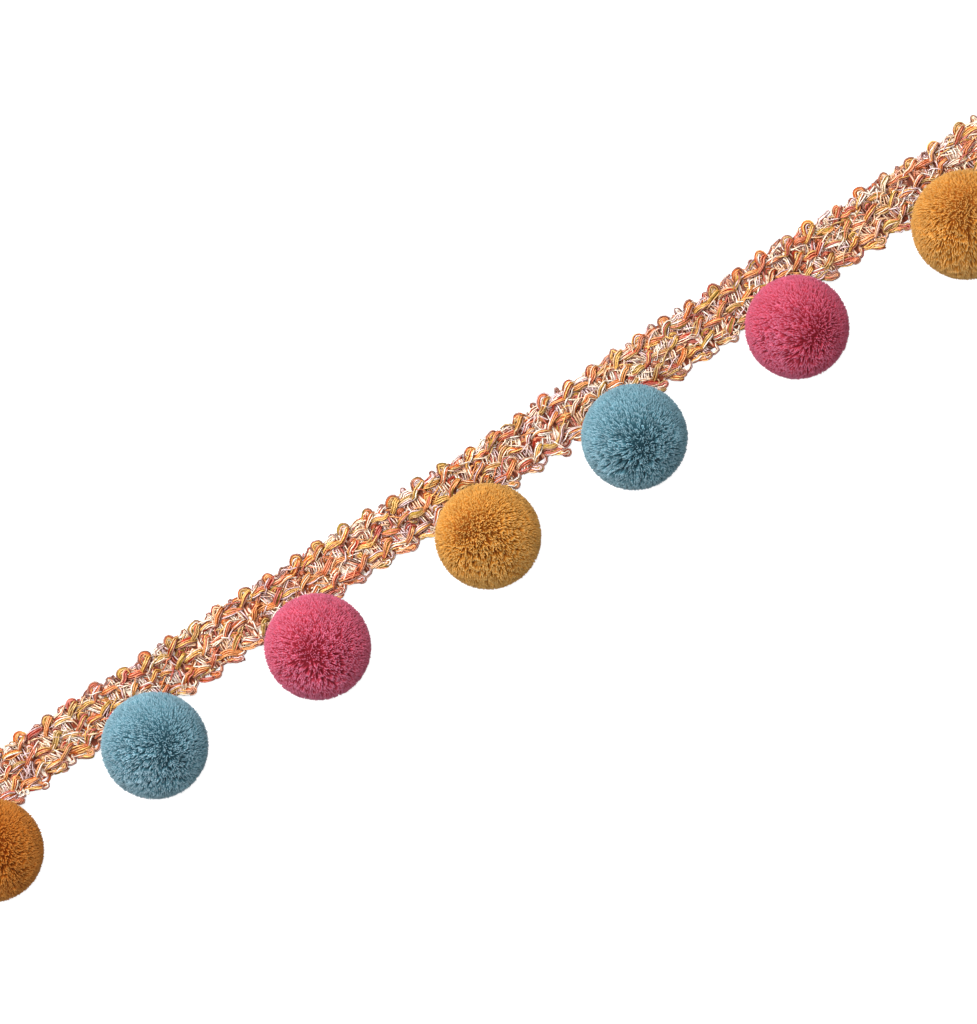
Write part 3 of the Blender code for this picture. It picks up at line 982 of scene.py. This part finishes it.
def build_pompom(node, dye_name, comb, full, tone, start, material):
    """One pompom as a single mesh: a core dark with painted shade and all its tufts, its dyes multiplied by
    its tone.

    A tuft is a spindle that widens from its root to just under its cut tip. Its faces are shaded
    partly as if they all faced the way of the tip and a little upwards, so that the pile looks
    soft. Its random numbers begin anew at start.
    """
    centre, radius = ball_of(node)
    draw = np.random.default_rng(start)
    out, tip_way, reach, shade, ruffled = tuft_ways(comb, (centre[2] - TIP_GAP) / radius, full, draw)
    root = out * (radius * reach - PILE_LENGTH)
    tip = tip_way * radius * reach
    shoulder = root + (tip - root) * SHOULDER
    axis = unit(tip - root)
    first = unit(np.cross(axis, draw.normal(0.0, 1.0, (TUFTS, 3))))
    second = np.cross(axis, first)
    turn = np.arange(TUFT_RING) * TURN / TUFT_RING
    ring = np.cos(turn)[:, None] * first[:, None] + np.sin(turn)[:, None] * second[:, None]
    thick = TUFT_RADIUS * draw.uniform(*TUFT_SIZES, (TUFTS, 1, 1))
    thick = thick * (CALM_THICKNESS - RUFFLED_THINNING * ruffled[..., None])
    tufts = np.concatenate([root[:, None], shoulder[:, None] + ring * thick, tip[:, None]], axis=1)
    core, core_quads, core_fans = core_grid()
    core_ruffled = ruffled_at(core)[:, None]
    core = core * (radius * full - CORE_DEPTH - RUFFLED_DEPTH * core_ruffled)
    core[:, 2] = np.maximum(core[:, 2], CORE_FOOT - centre[2])
    points = np.concatenate([core, tufts.reshape(-1, 3)]) + centre
    points[:, 2] = np.maximum(points[:, 2], FLOOR_GAP)
    first_corner = len(core) + (np.arange(TUFTS) * TUFT_CORNERS)[:, None, None]
    fans = np.concatenate([core_fans, (first_corner + TUFT_FANS).reshape(-1, 3)])
    pile = PILES[dye_name]
    levels = np.stack([linear(pile.root), *[linear(pile.shoulder)] * TUFT_RING, linear(pile.tip)]) * tone
    # Painted shade at the roots and a paler, partly painted highlight at the tips, the stronger the more
    # ruffled the pile.
    contrast = CALM_CONTRAST + RUFFLED_CONTRAST * ruffled[..., None]
    tuft_dye_and_shade = levels[1] + (levels - levels[1]) * contrast
    light = TUFT_LIGHT + (draw.normal(0.0, TUFT_LIGHT_SPREAD, TUFTS) + shade) * pile.depth
    tuft_dye_and_shade = light.clip(*LIGHT_LIMITS)[:, None, None] * tuft_dye_and_shade
    # The core: painted shade deep in the pile, darker where the pile is ruffled.
    core_dye_and_shade = levels[1] + (levels[0] - levels[1]) * (CALM_ROOTS + RUFFLED_ROOTS * core_ruffled)
    core_dye_and_shade = core_dye_and_shade * (1.0 - RUFFLED_CORE_SHADE * pile.depth * core_ruffled) * PILE_CORE_SHADE
    dye = np.concatenate([core_dye_and_shade, tuft_dye_and_shade.reshape(-1, 3)])
    pompom = make_piece(node + "_pile", points, (core_quads, fans), dye, material)
    lit = unit(tip_way + (0.0, 0.0, LIT_FROM_ABOVE))[:, None]
    sides = unit(ring + SIDES_LEAN * axis[:, None])
    faced = np.concatenate([lit, sides * (1.0 - SOFTNESS) + lit * SOFTNESS, lit], axis=1)
    faced = np.concatenate([unit(core), unit(faced).reshape(-1, 3)])
    pompom.data.normals_split_custom_set_from_vertices(faced)
    return pompom


# ---------------------------------------------------------------- floor, light and camera

VIEW_TURN = np.radians(32.9)
VIEW_CENTRE = np.array([5.0, 0.1, 8.0]) * MM
PIXELS_HIGH, MM_PER_PIXEL = 1024, 0.2363
VIEW_HEIGHT = PIXELS_HIGH * MM_PER_PIXEL * MM
LENS = 300.0
SENSOR = 36.0
FLOOR_HALF, FLOOR_DROP = 6.0, 0.0002


def build_floor():
    """A plain pale floor that glows, so that shadows on it stay faint, and throws no light on the trim."""
    material = bpy.data.materials.new("pale_floor")
    material.use_nodes = True
    shader = material.node_tree.nodes["Principled BSDF"]
    fill(shader, {"Base Color": (0.45, 0.45, 0.45, 1.0), "Roughness": 0.9})
    fill(shader, {"Emission Color": (1.0, 1.0, 1.0, 1.0), "Emission Strength": 0.8})
    mesh = bpy.data.meshes.new("floor")
    low, high = -FLOOR_HALF, FLOOR_HALF
    mesh.from_pydata([(low, low, 0), (high, low, 0), (high, high, 0), (low, high, 0)], [], [(0, 1, 2, 3)])
    mesh.materials.append(material)
    item = bpy.data.objects.new("floor", mesh)
    item.location.z = -FLOOR_DROP
    bpy.context.scene.collection.objects.link(item)
    item.visible_diffuse = False
    item.visible_glossy = False


def area_light(name, place, size, power):
    """A square soft light aimed at the trim."""
    data = bpy.data.lights.new(name, "AREA")
    data.size = size
    data.energy = power
    item = bpy.data.objects.new(name, data)
    item.location = place
    item.rotation_euler = (-item.location).to_track_quat("-Z", "Y").to_euler()
    bpy.context.scene.collection.objects.link(item)


def build_light():
    """Soft light from above and from the braid's looped side, in a pale room that is dimmer below."""
    area_light("key", place=(-0.22, 1.0, 1.0), size=1.4, power=25.0)
    area_light("top", place=(-0.15, 0.35, 1.6), size=1.4, power=24.0)
    world = bpy.data.worlds.new("room")
    world.use_nodes = True
    nodes, links = world.node_tree.nodes, world.node_tree.links
    way = nodes.new("ShaderNodeTexCoord")
    height = nodes.new("ShaderNodeSeparateXYZ")
    links.new(way.outputs["Generated"], height.inputs["Vector"])
    glow = nodes.new("ShaderNodeMapRange")
    fill(glow, {"From Min": -0.3, "From Max": 0.4, "To Min": 0.06, "To Max": 0.5})
    links.new(height.outputs["Z"], glow.inputs["Value"])
    links.new(glow.outputs["Result"], nodes["Background"].inputs["Strength"])
    fill(nodes["Background"], {"Color": (1.0, 1.0, 1.0, 1.0)})
    bpy.context.scene.world = world


def build_camera():
    """Straight above the trim with a long lens, turned so that the braid climbs to the right."""
    data = bpy.data.cameras.new("camera")
    data.lens = LENS
    data.sensor_width = SENSOR
    data.clip_end = 100.0
    item = bpy.data.objects.new("camera", data)
    distance = VIEW_HEIGHT * LENS / SENSOR
    item.location = VIEW_CENTRE + np.array([0.0, 0.0, distance])
    item.rotation_euler = (0.0, 0.0, -VIEW_TURN)
    bpy.context.scene.collection.objects.link(item)
    bpy.context.scene.camera = item


# ---------------------------------------------------------------- putting it together

ground, laid = build_braid()
for piece in [ground, *laid]:
    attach(piece, "root")
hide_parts("braid_tape")

pile_yarns = {name: pile_material(name + "_pile", pile.haze) for name, pile in PILES.items()}
for node, dye_name, comb, full, tone, start in POMPOMS:
    pompom = build_pompom(node, dye_name, comb, full, tone, start, pile_yarns[dye_name])
    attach(pompom, "root")
    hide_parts(node)

build_floor()
build_light()
build_camera()
bpy.context.scene.view_settings.view_transform = "Standard"
